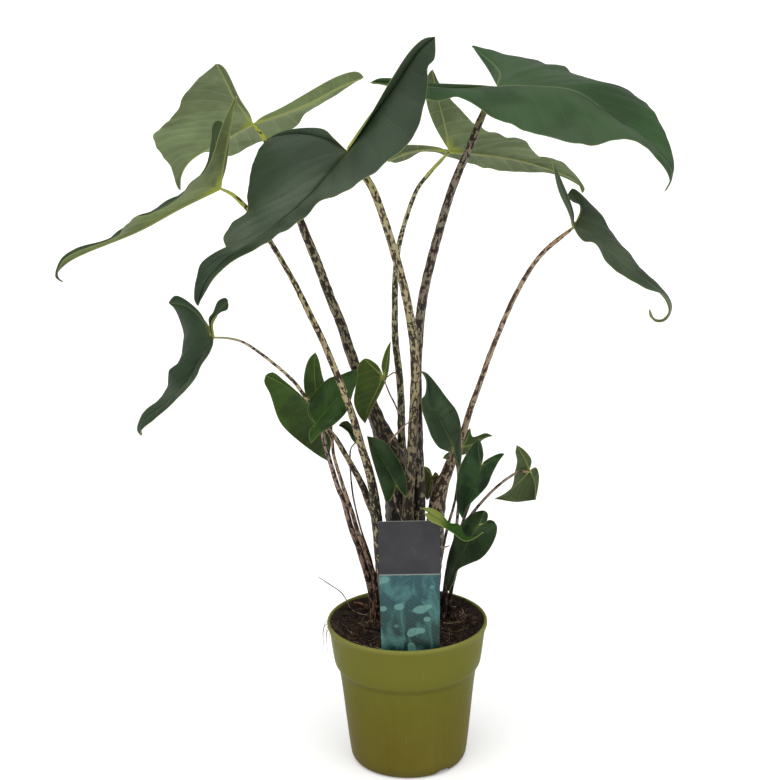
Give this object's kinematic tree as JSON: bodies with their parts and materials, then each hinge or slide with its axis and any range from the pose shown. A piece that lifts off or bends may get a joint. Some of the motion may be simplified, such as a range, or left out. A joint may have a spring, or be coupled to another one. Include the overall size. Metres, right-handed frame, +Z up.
{
  "type": "alocasia zebrina house plant in a nursery pot",
  "caption": "Potted aroid house plant: arrow-shaped blades on long banded stems that rise from soil in a round collared nursery pot with a bare card label.",
  "frame": {"origin": "centre of the pot's flat underside", "axes": "+Z up, +X to the right seen from the front, +Y away from the front, where the label stands"},
  "size_m": [0.606, 0.326, 0.775],
  "materials": {
    "pot_plastic": "satin moulded polypropylene, olive green",
    "soil": "rough crumbly peat mix",
    "label_card": "smooth printed card",
    "dry_plant": "dry fibrous",
    "leaf": "semi-matte leathery leaf with paler ribs",
    "young_leaf": "bright semi-gloss young leaf",
    "stem": "smooth stem with fine irregular dark bands"
  },
  "bodies": {
    "root": {"pot": "pot_plastic", "soil": "soil", "label": "label_card", "dry_sheath": "dry_plant", "old_root": "dry_plant", "leaf_front": "leaf", "leaf_left": "leaf", "leaf_back_left": "leaf", "leaf_right": "leaf", "leaf_back_right": "leaf", "leaf_low_right": "leaf", "leaf_low_left": "leaf", "leaf_small_left": "leaf", "leaf_small_front": "leaf", "leaf_small_middle": "leaf", "leaf_small_leaning": "leaf", "leaf_tiny_left": "leaf", "leaf_small_upright": "leaf", "leaf_small_forked": "leaf", "leaf_small_outer": "leaf", "leaf_tiny_hidden": "leaf", "leaf_small_low": "leaf", "leaf_young": "young_leaf", "leaf_tiny_back": "leaf", "stem_front": "stem", "stem_left": "stem", "stem_back_left": "stem", "stem_right": "stem", "stem_back_right": "stem", "stem_low_right": "stem", "stem_low_left": "stem", "stem_small_left": "stem", "stem_small_front": "stem", "stem_small_middle": "stem", "stem_small_leaning": "stem", "stem_tiny_left": "stem", "stem_small_upright": "stem", "stem_small_forked": "stem", "stem_small_outer": "stem", "stem_tiny_hidden": "stem", "stem_small_low": "stem", "stem_young": "stem", "stem_tiny_back": "stem"}
  },
  "joints": []
}
